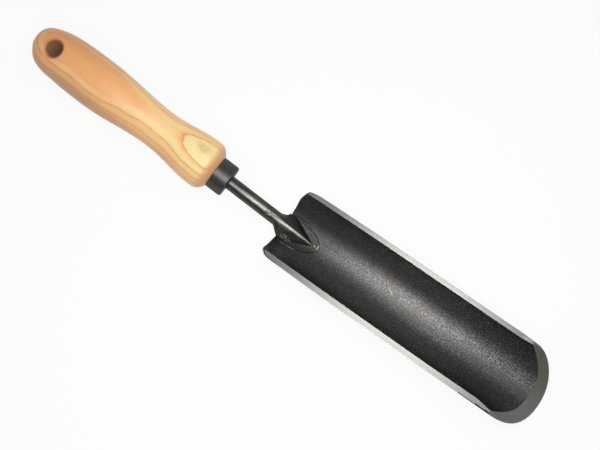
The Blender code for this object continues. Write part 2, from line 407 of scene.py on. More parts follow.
def forged_surface(name, tone_and_shade=0.0, tone_and_shade_colour=(60, 59, 57), glints=()):
    """Black mill scale: dark, faintly mottled, with a fine grain that is strongest near the round end.

    It has painted shade on -Y in front and on +Y at the rear. Its second argument says how far it gives way
    to the colour in its third, which is a flat tone on the leaf's rim and painted shade at the rim's edge.
    glints are painted highlights on it.
    """
    made = Surface(name, Metallic=1.0)
    ahead = made.along(made.place, (1.0, 0.0, 0.0))
    across = made.along(made.place, (0.0, 1.0, 0.0))
    grain = made.noise(0.5)
    specks = made.noise(0.75)
    patches = made.noise(8.0, 3.0, 0.4)
    tint = made.noise(2.6)
    rough = made.spread(ahead, 85.0, 140.0, 0.60, 1.0)
    # Painted shade on the -Y side towards the round end and on the +Y side at the rear
    painted_shade_front = made.product(made.spread(ahead, 105.0, 150.0, 0.0, 0.5), made.fade(across, -1.0, 4.0))
    painted_shade_rear = made.product(made.spread(across, 1.0, 5.0), made.fade(across, 12.0, 18.0),
                             made.fade(ahead, 10.0, 75.0, 0.7))
    colour = made.layers(
        made.blend(made.spread(tint, 0.4, 0.6), (86, 86, 88), (90, 87, 84)),
        (made.product(made.fade(specks, 0.32, 0.56, 0.85), rough), (50, 50, 50)),
        (made.product(made.spread(specks, 0.53, 0.68), rough), (134, 131, 128)),
        (made.fade(grain, 0.35, 0.65, 0.22), (56, 56, 56)),
        (made.spread(patches, 0.3, 0.7, 0.0, 0.14), (98, 95, 92)),
        (painted_shade_front, (60, 60, 60)),
        (painted_shade_rear, (60, 60, 60)),
        (tone_and_shade, tone_and_shade_colour))
    # Painted highlights at the leaf's tip
    for x, y, *narrowness in glints:
        middle = Vector((REAR_X + x, y, GLINT_LEVEL)) * 1000.0
        distance = made.away(made.place, middle, (*narrowness, 0.3))
        colour = made.blend(made.fade(distance, 0.4, 0.95, 0.85), colour, (152, 150, 146))
    roughness = made.spread(specks, 0.3, 0.7, 0.47, 0.39)
    return made.finish(colour, roughness, made.total(made.product(grain, 0.4), specks), 0.04)


def ground_surface(name, colour, dull, metallic, roughness, squeeze, depth, ends=None, tip=None):
    """Freshly ground steel with fine parallel scratches, squeezed in X, Y and Z.

    ends is a painted falloff of the highlight: the colour that the steel falls to at both ends of the scoop,
    with the distances in millimetres from the middle between which it does. tip is the colour that it falls
    to on the +Y side.
    """
    made = Surface(name, Metallic=metallic)
    scratches = made.noise(1.0, 3.0, squeeze=squeeze)
    cloud = made.noise(6.0)
    mixed = made.blend(made.spread(scratches, 0.3, 0.7), dull, colour)
    mixed = made.blend(made.spread(cloud, 0.35, 0.7, 0.0, 0.35), mixed, dull)
    if ends:
        reach = made.apart(made.along(made.place, (1.0, 0.0, 0.0)), PAINTED_HIGHLIGHT_AT * 1000.0)
        mixed = made.blend(made.spread(reach, *ends[1:]), mixed, ends[0])
    if tip:
        mixed = made.blend(made.spread(made.along(made.place, (0.0, 1.0, 0.0)), -14.0, 14.0), mixed, tip)
    roughness = made.spread(scratches, 0.2, 0.8, roughness - 0.05, roughness + 0.06)
    return made.finish(mixed, roughness, scratches, depth)


def neck_surface():
    """Smooth black scale, folded before the neck, highlights painted on top and on the spatter by the leaf.
    """
    made = Surface("neck_scale", Metallic=1.0, Specular_Tint=(0.6, 0.6, 0.6, 1.0))
    ahead = made.along(made.place, (1.0, 0.0, 0.0))
    across = made.along(made.place, (0.0, 1.0, 0.0))
    marks = made.noise(2.2, 3.0, 0.5, squeeze=(0.5, 1.0, 1.0))
    grain = made.noise(0.5)
    rear = REAR_X * 1000.0
    # Painted highlights along the leaf's ridge, and in a band along the neck's top behind the scoop
    painted_ridge_highlight = made.product(made.fade(made.apart(across, LEAF_SHIFT * 1000.0), 0.25, 1.3, 0.85),
                          made.spread(ahead, rear - 5.0, rear + 3.0), made.fade(ahead, 22.0, 24.5))
    behind = made.product(made.spread(ahead, rear - 34.0, rear - 20.0, 0.0, 0.30),
                          made.fade(ahead, rear - 6.0, rear), made.fade(made.apart(across, 0.0), 0.3, 2.6))

    def near(distance, inner, outer):
        """1 around a point on top of the neck, falling to 0 between two distances in millimetres."""
        point = (neck_point(distance) + NECK_UP * NECK_RADIUS) * 1000.0
        return made.fade(made.away(made.place, point), inner, outer)

    # A forging fold on the neck's top: sunk by the bump, with painted shade darkening its creases
    crease = made.noise(1.7, 2.0, 0.8, squeeze=(0.55, 1.1, 1.1))
    crease = made.fade(made.apart(crease, 0.5), 0.0, 0.06)
    waver = made.math("MULTIPLY_ADD", made.noise(2.4), 1.1, -0.55)
    lap = made.total(made.along(made.place, (-FOLD_SLOPE, 1.0, 0.0)), waver)
    lap = made.product(made.fade(made.apart(lap, FOLD_START), 0.10, 0.32), near(LAP_AT, 4.4, 5.6))
    fold = made.math("MAXIMUM", made.product(crease, near(FOLD_AT, 2.8, 5.2), 0.35), lap)
    # Weld spatter by the leaf: its lumps are real, and their paleness is a painted highlight
    puddle = Vector((REAR_X + PUDDLE_PLACE[0], PUDDLE_PLACE[1] + LEAF_SHIFT, PUDDLE_LEVEL)) * 1000.0
    painted_spatter_highlight = made.product(made.fade(made.away(made.place, puddle, (0.42, 1.0, 0.3)), 1.0, 2.2),
                         made.spread(made.noise(1.2), 0.42, 0.56), 0.85)
    colour = made.layers(
        made.blend(made.spread(marks, 0.35, 0.65), (76, 75, 73), (88, 86, 83)),
        (made.math("MAXIMUM", painted_ridge_highlight, behind), (164, 161, 155)),
        (made.product(fold, 0.8), (30, 29, 28)),
        (painted_spatter_highlight, (172, 170, 166)))
    roughness = made.total(made.spread(marks, 0.3, 0.7, 0.31, 0.36), made.product(grain, 0.05))
    relief = made.total(made.product(marks, 0.3), made.product(grain, 0.15))
    return made.finish(colour, roughness, made.math("SUBTRACT", relief, fold), 0.04)


def weld_surface():
    """Weld metal: dark and dull, a little browner than the scale."""
    made = Surface("weld_metal", Metallic=1.0)
    spatter = made.noise(0.7, 3.0)
    colour = made.blend(made.spread(spatter, 0.35, 0.65), (52, 51, 50), (76, 74, 72))
    return made.finish(colour, made.spread(spatter, 0.3, 0.7, 0.52, 0.44), spatter, 0.03)


def ferrule_surface():
    """Satin black paint over steel, a little dusty, with a faint warm rub in places."""
    tint = (0.28, 0.28, 0.28, 1.0)
    made = Surface("ferrule_paint", Metallic=0.6, Specular_IOR_Level=0.8, Specular_Tint=tint)
    cloud = made.noise(3.5, 3.0)
    grain = made.noise(0.35)
    rub = made.spread(made.noise(5.0), 0.56, 0.66, 0.0, 0.5)
    colour = made.blend(made.spread(cloud, 0.3, 0.7), (67, 67, 69), (75, 75, 78))
    colour = made.blend(rub, colour, (76, 62, 58))
    roughness = made.total(made.spread(cloud, 0.3, 0.7, 0.31, 0.35), made.product(grain, 0.05))
    return made.finish(colour, roughness, grain, 0.014)


def wood_surface(name, hole=False, rim=False):
    """Ash under a satin varnish. The growth rings are sheets almost parallel to the top of the handle.

    The handle's own axes are X up from its axis, Y across and Z to the butt, from the shoulder.
    """
    made = Surface(name, Specular_IOR_Level=0.5, Sheen_Weight=0.20, Sheen_Roughness=0.4)
    axes = {"Vector": made.place, "Location": neck_point(SHOULDER_AT) * 1000.0,
            "Rotation": (0.0, NECK_ANGLE - pi / 2, 0.0)}
    place = made.place = made.add("Mapping", axes, vector_type="TEXTURE").outputs[0]
    reach = made.along(place, (0.0, 0.0, 1.0))
    beside = made.along(place, (0.0, 1.0, 0.0))
    slow = made.noise(30.0, 1.0, squeeze=(0.35, 0.35, 1.0))
    ripple = made.noise(3.2, squeeze=(1.0, 1.0, 0.25))
    streaks = made.noise(1.0, 3.0, squeeze=(3.2, 3.2, 0.16))
    pores = made.noise(1.0, squeeze=(4.0, 4.0, 0.45))
    fibres = made.noise(1.0, squeeze=(1.0, 1.0, 0.06))

    # Depth below the top of the bulge, the growth rings in it, and the share of a ring from its dark line
    depth = made.total(made.along(place, (-cos(RING_LEAN), -sin(RING_LEAN), 0.0)), BULGE_RADIUS * 1000.0,
                       made.spread(slow, 0.2, 0.8, -0.6, 0.6), made.spread(ripple, 0.2, 0.8, -0.2, 0.2),
                       made.spread(reach, 108.0, 140.0, 0.0, -3.2))
    depth = made.math("MAXIMUM", depth, made.spread(reach, 32.0, 48.0, 0.12, 2.5))
    rings = made.math("POWER", made.math("DIVIDE", depth, RING_FIRST), RING_SPREAD)
    ring = made.math("FRACT", rings)
    below_first = made.spread(rings, 0.5, 0.8)
    warm = made.product(made.spread(ring, 0.0, 0.05), made.fade(ring, 0.08, 0.55))
    warm = made.product(made.total(warm, made.spread(ring, 0.86, 1.0, 0.0, 0.35)), below_first)
    near = made.product(made.spread(ring, 0.0, 0.04), made.fade(ring, 0.05, 0.24, 0.55),
                        made.spread(rings, 0.6, 0.9))
    line = made.product(made.total(made.fade(ring, 0.0, 0.12), made.spread(ring, 0.965, 1.0)),
                        made.spread(pores, 0.36, 0.60, 0.15, 0.80), below_first)

    to_butt = made.spread(reach, 14.0, 94.0)
    pale = made.blend(to_butt, (246, 229, 164), (244, 194, 138))
    honey = made.blend(made.spread(reach, 34.0, 110.0), (253, 191, 125), (236, 166, 104))
    sides = made.blend(to_butt, (250, 196, 142), (230, 172, 124))
    pale = made.blend(made.spread(depth, 4.0, 11.0, 0.0, 0.9), pale, sides)
    # Painted light on the +Y side over the front half of the handle: a lighter orange
    painted_light_plus_y = made.total(beside, made.spread(reach, 20.0, 40.0, 0.0, 3.5))
    painted_light_plus_y = made.product(made.spread(painted_light_plus_y, 8.0, 12.5), made.fade(reach, 50.0, 84.0, 0.85))
    eye = made.total(made.away(place, EYE_PLACE, (0.3, 1.25, 0.85)), made.spread(ripple, 0.2, 0.8, -0.8, 0.8))
    eye = made.product(made.fade(eye, 1.4, 6.0, 0.64), made.spread(pores, 0.35, 0.60, 0.30, 1.0))
    specks = made.product(made.spread(pores, 0.62, 0.72), made.spread(ring, 0.0, 0.55, 0.60, 0.18))
    # Painted shade along the -Y side, stronger from the waist back, and on the +Y side towards the butt
    painted_shade_minus_y = made.product(made.fade(beside, -16.5, -10.0), made.spread(reach, 14.0, 36.0, 0.08, 0.42))
    painted_shade_butt_plus_y = made.product(made.spread(beside, 1.0, 12.0), made.spread(reach, 76.0, 120.0, 0.0, 0.45))
    offset = made.vector("SUBTRACT", place, NICK_PLACE)
    nick = {axis: made.product(made.along(offset, direction), scale) for axis, direction, scale in NICK_AXES}
    nick = made.vector("LENGTH", made.add("CombineXYZ", nick).outputs[0])
    nick = made.fade(nick, 0.6, 1.1, 0.85)
    colour = made.layers(
        made.blend(warm, pale, honey),
        (near, (232, 162, 96)),
        (made.spread(streaks, 0.38, 0.70, 0.0, 0.30), honey),
        (made.spread(fibres, 0.48, 0.72, 0.0, 0.45), honey),
        (made.fade(fibres, 0.28, 0.50, 0.30), pale),
        (painted_light_plus_y, (255, 203, 142)),
        (line, (194, 128, 68)),
        # Darker at the shoulder by the ferrule: partly the rings' end grain, partly painted shade
        (made.fade(reach, 2.0, 8.0, 0.85), (214, 152, 102)),
        (eye, (212, 166, 98)),
        (specks, (184, 124, 74)),
        (painted_shade_minus_y, (150, 118, 92)),
        (painted_shade_butt_plus_y, (206, 136, 82)),
        (nick, (92, 66, 44)))
    if hole:
        # The hang hole's wall is a darker brown with streaks
        hole_brown = made.blend(made.spread(streaks, 0.35, 0.65), (142, 94, 56), (192, 140, 92))
        colour = made.blend(0.94, colour, hole_brown)
    if rim:
        # Painted light and shade round the hang hole's rim: cream on its front side, dark orange towards the
        # butt
        middle = (HANDLE_LENGTH - HANG_HOLE_INSET - SWELL_RADIUS * sin(HANG_HOLE_LEAN)) * 1000.0
        painted_shade_to_butt = made.spread(made.along(place, (0.0, -0.2, 1.0)), middle - 5.5, middle + 4.5)
        colour = made.blend(0.75, colour, made.blend(painted_shade_to_butt, (214, 166, 116), (184, 112, 56)))
    roughness = 0.8 if hole else made.spread(pores, 0.3, 0.75, 0.40, 0.52)
    relief = made.math("SUBTRACT", 1.0, made.product(specks, 0.8))
    return made.finish(colour, roughness, made.total(relief, made.product(streaks, 0.25)), 0.03)


INNER_RADIUS = BLADE_RADIUS - SHEET
BEVEL_ANGLE = BLADE_HALF_ANGLE - SIDE_BEVEL / BLADE_RADIUS
REAR_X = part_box("blade")[0][0]
NECK_HEIGHT = SHEET + CLEARANCE + NECK_RADIUS / cos(NECK_ANGLE)
NECK_LINE = Vector((-cos(NECK_ANGLE), 0.0, sin(NECK_ANGLE)))
NECK_UP = Vector((sin(NECK_ANGLE), 0.0, cos(NECK_ANGLE)))
SHOULDER_AT = NECK_REACH + FERRULE_LENGTH + CLEARANCE
TENON_LENGTH = FERRULE_LENGTH - FERRULE_PLATE
TENON_RADIUS = FERRULE_RADIUS - FERRULE_WALL - CLEARANCE
TANG_START = SHOULDER_AT - TENON_LENGTH


def rear_edge(angle):
    """Where the scoop begins, as a distance from its rear edge: its corners are round."""
    corner = REAR_CORNER + (CORNER_SKEW if angle > 0.0 else -CORNER_SKEW)
    reach = BLADE_RADIUS * (abs(angle) - BLADE_HALF_ANGLE) + corner
    return corner - sqrt(corner**2 - reach**2) if reach > 0.0 else 0.0


def front_edge(angle):
    """Where the scoop ends: its front is round, seen from above, and a little fuller on the -Y side."""
    across = sin(angle) / sin(BLADE_HALF_ANGLE)
    across += TIP_SKEW * (1.0 - across**4)
    return BLADE_LENGTH - TIP_ROUND * (1.0 - max(1.0 - abs(across)**TIP_POWER, 0.0)**(1.0 / TIP_POWER))


def bevel_start(angle):
    """Where the ground bevel of the round end begins, which widens to the sides."""
    across = min(sin(abs(angle)) / sin(BLADE_HALF_ANGLE), 1.0)
    return BLADE_LENGTH - TIP_BEVEL - TIP_BEVEL_SPREAD * across**TIP_BEVEL_POWER


def near_strip(angle):
    """1 on the line where the ground strip on a side begins, falling to 0 at the edge and as far inside."""
    return max(1.0 - abs(abs(angle) - BEVEL_ANGLE) * BLADE_RADIUS / SIDE_BEVEL, 0.0)


def narrowed(x, angle):
    """The angle that a point moves to: the strips differ in width, and narrow at the round end."""
    share = ramp(x, NARROWING_AT, NARROWING_LENGTH)
    side = 1.0 if angle > 0.0 else -1.0
    level = STRIP_SHIFT if side > 0.0 else STRIP_SHIFT * (1.0 - share)
    return angle + (level + side * STRIP_NARROWING * share) / BLADE_RADIUS * near_strip(angle)


def side_thickness(angle):
    """The sheet's thickness, which thins across the ground strips along the sides."""
    share = max((abs(angle) - BEVEL_ANGLE) / (BLADE_HALF_ANGLE - BEVEL_ANGLE), 0.0)
    return SHEET + (EDGE_LAND - SHEET) * share


def on_arc(x, angle, radius):
    """A point on a circle about the scoop's axis."""
    return Vector((REAR_X + x, radius * sin(angle), BLADE_RADIUS - radius * cos(angle)))


def make_blade(surfaces):
    """The scoop: a forged half pipe with ground strips along its sides and a ground bevel round its end."""
    columns, strips, rows, ends, corner = 72, 5, 150, 9, 5
    angles = [-BLADE_HALF_ANGLE + (BLADE_HALF_ANGLE - BEVEL_ANGLE) * k / strips for k in range(strips)]
    angles += [-BEVEL_ANGLE + 2.0 * BEVEL_ANGLE * k / columns for k in range(columns)]
    angles += [BEVEL_ANGLE + (BLADE_HALF_ANGLE - BEVEL_ANGLE) * k / strips for k in range(strips + 1)]

    def surface_point(x, angle, radius, lift):
        """A point on the sheet. The ground line wanders a little, and the hammered skin waves."""
        side = 1.0 if angle > 0.0 else -1.0
        wander = GROUND_WOBBLE * lumps((x, side, 0.0), 0.004, 3.0) * near_strip(angle)
        wave = HAMMER_MARK * (lumps((x, angle * BLADE_RADIUS, 0.0), 0.011, 7.0)
                              + 0.6 * lumps((x, angle * BLADE_RADIUS, 0.0), 0.005, 11.0))
        calm = min(max((BEVEL_ANGLE - abs(angle)) / CALM_ANGLE, 0.0), 1.0)
        point = on_arc(x, narrowed(x, angle) + side * wander / BLADE_RADIUS, radius + wave * calm * lift)
        pinch = PINCH / BLADE_RADIUS * max(1.0 - x / PINCH_LENGTH, 0.0)**1.5
        point.y *= 1.0 - pinch * (point.y / BLADE_RADIUS)**2 / sin(BLADE_HALF_ANGLE)**3
        share = ramp(x, *(TIP_PINCH_LEFT if angle > 0.0 else TIP_PINCH_RIGHT))
        point.y -= side * TIP_PINCH * share * (point.y / BLADE_RADIUS)**2
        return point

    rings = []
    for angle in angles:
        thick = side_thickness(angle)
        rear = rear_edge(angle) + REAR_WAVE * lumps((angle * BLADE_RADIUS, 0.0, 0.0), 0.006, 5.0)
        at_tip = narrowed(BLADE_LENGTH, angle)
        start = bevel_start(at_tip) + GROUND_WOBBLE * lumps((angle * BLADE_RADIUS, 0.0, 0.0), 0.003, 9.0)
        front = front_edge(at_tip)
        edge = min(REAR_ROUND, thick / 2.5)
        outer, inner = BLADE_RADIUS, BLADE_RADIUS - thick
        bends = [(edge * (1.0 - sin(pi / 2 * i / corner)), edge * (1.0 - cos(pi / 2 * i / corner)))
                 for i in range(corner)]
        section = [(front + (start - front) * i / ends, outer, 0.0) for i in range(ends)]
        section += [(start + (rear + edge - start) * i / rows, outer, 1.0) for i in range(rows + 1)]
        section += [(rear + falling, outer - growing, 1.0) for falling, growing in bends[1:]]
        section += [(rear + growing, inner + falling, 1.0) for falling, growing in bends]
        section += [(rear + edge + (start - rear - edge) * i / rows, inner, 1.0) for i in range(rows + 1)]
        section += [(start + (front - start) * share, inner - (EDGE_LAND - thick) * share, 0.0)
                    for share in (i / ends for i in range(1, ends + 1))]
        rings.append([surface_point(x, angle, radius, lift) for x, radius, lift in section])
    inside = ends + rows + 2 * corner
    bevel = inside + rows

    def slots(i, k):
        """0 is forged, 1 and 3 the ground strips on the -Y and +Y sides, 2 the bevel of the round end."""
        if k >= bevel:
            return 0 if i < 1 and k < bevel + BEVEL_DARK else 2
        if i >= strips + columns and k >= inside - corner:
            return 3
        if k < inside or i < sum(k > inside + share * rows for share in STRIP_WEDGE):
            return 0
        return 1 if i < strips else 0

    bm = bmesh.new()
    made = bridge_rings(bm, rings, slots, close_ends=False)
    for ring, strip, dark in ((made[0], 1, EDGE_DARK), (made[-1], 3, (0, 0))):
        for k in range(len(ring) // 2 - 1):
            corners = (ring[k], ring[k + 1], ring[-k - 2], ring[-k - 1])
            face = bm.faces.new(corners if strip == 1 else corners[::-1])
            face.material_index = strip if ends + dark[0] < k < ends + rows - dark[1] else 0
    add_piece("trowel_blade", bm, surfaces, "blade", radians(35.0))


def neck_point(distance):
    """A point on the neck's middle line, this far behind the scoop's rear edge."""
    return Vector((REAR_X, 0.0, NECK_HEIGHT)) + NECK_LINE * distance


def leaf_half_width(x):
    """Half the leaf's width: straight behind its cut corners, then half an ellipse."""
    share = max((x - LEAF_STRAIGHT) / (LEAF_LENGTH - LEAF_STRAIGHT), 0.0)
    return LEAF_HALF_WIDTH * sqrt(max(1.0 - share**2, 0.0)) - max(LEAF_CORNER - x, 0.0)


FLANGE_STEPS, ROOF_STEPS, FLOOR_STEPS = 6, 18, 30


def leaf_ring(x):
    """A section of the leaf, from its +Y edge over the ridge to its -Y edge and back below."""
    half = leaf_half_width(x)
    left = max(1.0 - x / RIDGE_LENGTH, 0.0)
    foot = RIDGE_FOOT * left
    body = max(min(foot, half - SLIVER), SLIVER)
    round_off = min(RIDGE_ROUND_TIP + (RIDGE_ROUND_REAR - RIDGE_ROUND_TIP) * left, 0.45 * foot)
    seat = INNER_RADIUS - CLEARANCE
    corner = min(LEAF_CHAMFER, half / 4.0)

    def floor(y):
        return BLADE_RADIUS - sqrt(seat**2 - (y + LEAF_SHIFT)**2)

    def top(y):
        outward = min(max((abs(y) - body) / max(half - body, SLIVER / 2.0), 0.0), 1.0)
        roof = 0.0
        if foot > 0.0:
            slid = (sqrt(y**2 + round_off**2) - round_off) / (sqrt(foot**2 + round_off**2) - round_off)
            roof = RIDGE_HEIGHT * left * (1.0 + RIDGE_BEND * (1.0 - left)) * max(1.0 - slid, 0.0)
        skin = FORGED_SKIN * lumps((x, y, 0.0), 0.0022, 21.0)
        beside = (x - PUDDLE_PLACE[0]) / PUDDLE_SIZE[0], (y - PUDDLE_PLACE[1]) / PUDDLE_SIZE[1]
        skin += PUDDLE_DEPTH * max(1.0 - beside[0]**2 - beside[1]**2, 0.0) * lumps((x, y, 0.0), 0.0017, 23.0)
        rise = FLANGE_RISE * (1.0 - outward) * min(half / LEAF_HALF_WIDTH, 1.0)
        return floor(y) + LEAF_EDGE + rise + roof + skin

    ys = [half, half - corner * 0.3, half - corner]
    ys += [half - corner + (body - half + corner) * i / FLANGE_STEPS for i in range(1, FLANGE_STEPS + 1)]
    ys += [body * (1.0 - (i / ROOF_STEPS)**0.65) for i in range(1, ROOF_STEPS)]
    heights = [top(ys[0]) - corner, top(ys[1]) - corner * 0.3] + [top(y) for y in ys[2:]]
    points = list(zip(ys, heights))
    points += [(0.0, top(0.0))] + [(-y, top(-y) - top(y) + z) for y, z in points[::-1]]
    ys = [-half + 2.0 * half * i / FLOOR_STEPS for i in range(FLOOR_STEPS + 1)]
    points += [(y, floor(y)) for y in ys]
    return [Vector((REAR_X + x, y + LEAF_SHIFT, z)) for y, z in points]


def neck_ring(distance, radius, skin=0.0):
    """A circle about the neck's line, its points spaced as those of a leaf section."""
    centre = neck_point(distance) + Vector((0.0, NECK_DRIFT * max(1.0 - distance / NECK_REACH, 0.0), 0.0))
    over = 2 * (FLANGE_STEPS + ROOF_STEPS + 2)
    turns = [pi * i / over for i in range(over + 1)]
    turns += [pi + pi * (i + 0.5) / (FLOOR_STEPS + 1) for i in range(FLOOR_STEPS + 1)]
    ring = []
    for turn in turns:
        side, up = cos(turn), sin(turn)
        fold = 0.0
        if skin > 0.0:
            window = max(1.0 - ((distance - FOLD_AT) / FOLD_LENGTH)**2, 0.0) * max(up, 0.0)
            crease = lumps((distance * 0.6, side * radius, 0.0), 0.0019, 31.0)
            fold = FOLD_DEPTH * window * min(crease, 0.0)
        grown = radius + fold + skin * lumps((distance, side * radius, up * radius), 0.006, 35.0)
        ring.append(centre + Vector((0.0, 1.0, 0.0)) * grown * side + NECK_UP * grown * up)
    return ring


def make_shank(surfaces):
    """The forging: a leaf with a ridge, a shoulder, a round neck and a tang.

    Its surfaces are those of the forging, of the leaf's rim and of the rim's edge, which is painted dark as
    shade.
    """
    leaf_steps = 44
    rings = [leaf_ring((LEAF_LENGTH - LEAF_END) * cos(pi / 2 * i / leaf_steps)) for i in range(leaf_steps)]
    rings.append(leaf_ring(0.0))
    flat, round_ = leaf_ring(0.0), neck_ring(SHOULDER_LENGTH, NECK_RADIUS)
    steps = 14
    for i in range(1, steps):
        share = SHOULDER_STRAIGHT * i / steps + (1.0 - SHOULDER_STRAIGHT) * ease(0.0, 1.0, i / steps)
        ring = [low.lerp(high, share) for low, high in zip(flat, round_)]
        for point, low, high in zip(ring, flat, round_):
            if low.y > 0.0:
                point.y = low.y + (high.y - low.y) * share**SHOULDER_TUCK
        rings.append(ring)
    along = 70
    for i in range(along + 1):
        distance = SHOULDER_LENGTH + (TANG_START - SHOULDER_LENGTH) * i / along
        rings.append(neck_ring(distance, NECK_RADIUS, FORGED_SKIN * min(i / 6, 1.0)))
    rings.append(neck_ring(TANG_START + TANG_LENGTH, TANG_TIP_RADIUS))
    rim = 2 + FLANGE_STEPS
    across = 2 * (rim + ROOF_STEPS)
    count = len(flat)

    def slots(i, k):
        """1 is the thin rim on both sides of the leaf's roof, and 2 its edge, painted dark as shade."""
        if i >= leaf_steps or rim <= k < across - rim or across < k < count - 1:
            return 0
        return 1 if 2 <= k < across - 2 else 2

    bm = bmesh.new()
    bridge_rings(bm, rings, slots)
    add_piece("trowel_shank", bm, surfaces, "shank", radians(48.0))


def make_weld(name, side, roughness, surface, node):
    """A fillet of weld in the corner between the leaf and the scoop, rippled and lumpy."""
    seat = INNER_RADIUS - BEAD_SEAT
    steps, across_steps = 90, 9
    rings = []
    for i in range(steps + 1):
        share = i / steps
        x = BEAD_START + BEAD_LENGTH * share
        taper = min(max(sin(pi * share), 0.0)**0.6 * 1.1 + 0.06, 1.0)
        ripple = 1.0 + 0.3 * roughness * sin(2.0 * pi * x / BEAD_RIPPLE)
        ripple += roughness * lumps((x, side, 0.0), 0.0022, 41.0)
        begin = leaf_half_width(x) + BEAD_GAP
        ring = []
        for k in range(across_steps + 1):
            out = k / across_steps
            lump = 1.0 + roughness * lumps((x, out * 0.002, side), 0.0011, 43.0)
            lift = BEAD_HEIGHT * taper * ripple * lump * cos(pi / 2 * out)**0.8
            angle = asin((side * (begin + BEAD_WIDTH * taper * out) + LEAF_SHIFT) / seat)
            ring.append((x, angle, seat - lift))
        ring += [(x, angle, seat + BEAD_SINK) for x, angle, _ in reversed(ring)]
        rings.append([on_arc(*point) for point in ring])
    bm = bmesh.new()
    bridge_rings(bm, rings)
    add_piece(name, bm, [surface], node, radians(70.0))


def handle_frame(distance):
    """The frame of a piece turned about the neck's line: X up, Y across and Z to the butt."""
    return Matrix.Translation(neck_point(distance)) @ Matrix.Rotation(NECK_ANGLE - pi / 2, 4, "Y")


def turned_ring(radius, height, sides, start=0.0):
    """A circle about the local Z axis."""
    turns = [start + 2.0 * pi * k / sides for k in range(sides)]
    return [Vector((radius * cos(turn), radius * sin(turn), height)) for turn in turns]


def make_ferrule(surface):
    """The cap: a tube with a rolled front corner and a plate that the neck passes through."""
    hole = NECK_RADIUS + CLEARANCE
    bore = FERRULE_RADIUS - FERRULE_WALL
    soft = FERRULE_SOFT
    outline = [(bore, FERRULE_PLATE), (hole, FERRULE_PLATE), (hole, soft), (hole + soft, 0.0)]
    for i in range(11):
        turn = pi / 2 * i / 10
        inward, ahead = FERRULE_ROUND * (1.0 - sin(turn)), FERRULE_ROUND * (1.0 - cos(turn))
        outline.append((FERRULE_RADIUS - inward, ahead))
    straight = FERRULE_LENGTH - soft - FERRULE_ROUND
    outline += [(FERRULE_RADIUS, FERRULE_ROUND + straight * i / 8) for i in range(1, 9)]
    outline += [(FERRULE_RADIUS - soft, FERRULE_LENGTH), (bore, FERRULE_LENGTH), (bore, FERRULE_PLATE)]
    bm = bmesh.new()
    bridge_rings(bm, [turned_ring(radius, height, 160) for radius, height in outline], close_ends=False)
    bmesh.ops.remove_doubles(bm, verts=bm.verts, dist=0.00001)
    bmesh.ops.transform(bm, matrix=handle_frame(NECK_REACH), verts=bm.verts)
    add_piece("trowel_ferrule", bm, [surface], "ferrule", radians(32.0))


SWELL_AT = HANDLE_LENGTH - BUTT_LENGTH


def handle_radius(z):
    """The handle's radius at a distance from its shoulder."""
    if z < BULGE_AT:
        start = FERRULE_RADIUS + SHOULDER_STEP
        return start + (BULGE_RADIUS - start) * (1.0 - (1.0 - max(z / BULGE_AT, 0.0))**BULGE_FULLNESS)
    if z < WAIST_AT:
        return ease(BULGE_RADIUS, WAIST_RADIUS, (z - BULGE_AT) / (WAIST_AT - BULGE_AT))
    if z < SWELL_AT:
        return ease(WAIST_RADIUS, SWELL_RADIUS, (z - WAIST_AT) / (SWELL_AT - WAIST_AT))
    return SWELL_RADIUS * max(1.0 - ((z - SWELL_AT) / BUTT_LENGTH)**BUTT_FULLNESS, 0.0)**BUTT_BLUNTNESS


def sideways(point):
    """How far the sides of the handle stand towards -Y: more so in its rear half, and most at the butt."""
    bend = HANDLE_BEND * ramp(point.z, BEND_AT, BEND_LENGTH)
    butt = BUTT_FLAT * max(1.0 - ((point.z - BUTT_FLAT_AT) / BUTT_FLAT_REACH)**2, 0.0)
    return (bend + butt * (point.y < 0.0)) * ramp(abs(point.y), TOP_HALF_WIDTH, TOP_BLEND)


class HangHole:
    """One mouth of the hang hole, with axes across the hole and out of it."""

    def __init__(self, side):
        turned = Matrix.Rotation(-HANG_HOLE_TURN, 3, "Z")
        self.centre = Vector((0.0, 0.0, HANDLE_LENGTH - HANG_HOLE_INSET))
        self.out = turned @ Vector((cos(HANG_HOLE_LEAN), 0.0, sin(HANG_HOLE_LEAN))) * side
        self.along = turned @ Vector((-sin(HANG_HOLE_LEAN), 0.0, cos(HANG_HOLE_LEAN)))
        self.across = turned @ Vector((0.0, 1.0, 0.0)) * side

    def flat(self, point):
        """A point's place across the hole."""
        offset = point - self.centre
        return offset.dot(self.along), offset.dot(self.across)

    def reach(self, a, b):
        """How far out along the hole the wood's surface lies."""
        low, high = 0.0, 2.0 * SWELL_RADIUS
        for _ in range(30):
            middle = (low + high) / 2.0
            point = self.at(a, b, middle)
            if sqrt(point.x**2 + point.y**2) < handle_radius(point.z):
                low = middle
            else:
                high = middle
        return low

    def at(self, a, b, height):
        """The point at this place and height."""
        return self.centre + self.along * a + self.across * b + self.out * height


def square_turn(i, k):
    """The direction of a step of (i, k) cells, spaced evenly round each square of steps."""
    size = max(abs(i), abs(k))
    if i == size:
        return pi / 4 * k / size
    if k == size:
        return pi / 2 - pi / 4 * i / size
    if i == -size:
        return pi - pi / 4 * k / size
    return 3 * pi / 2 + pi / 4 * i / size


def square_walk(size):
    """The steps round a square of this half size, in the order of their directions."""
    walk = [(size, k) for k in range(-size, size)]
    walk += [(i, size) for i in range(size, -size, -1)]
    walk += [(-size, k) for k in range(size, -size, -1)]
    return walk + [(i, -size) for i in range(-size, size)]


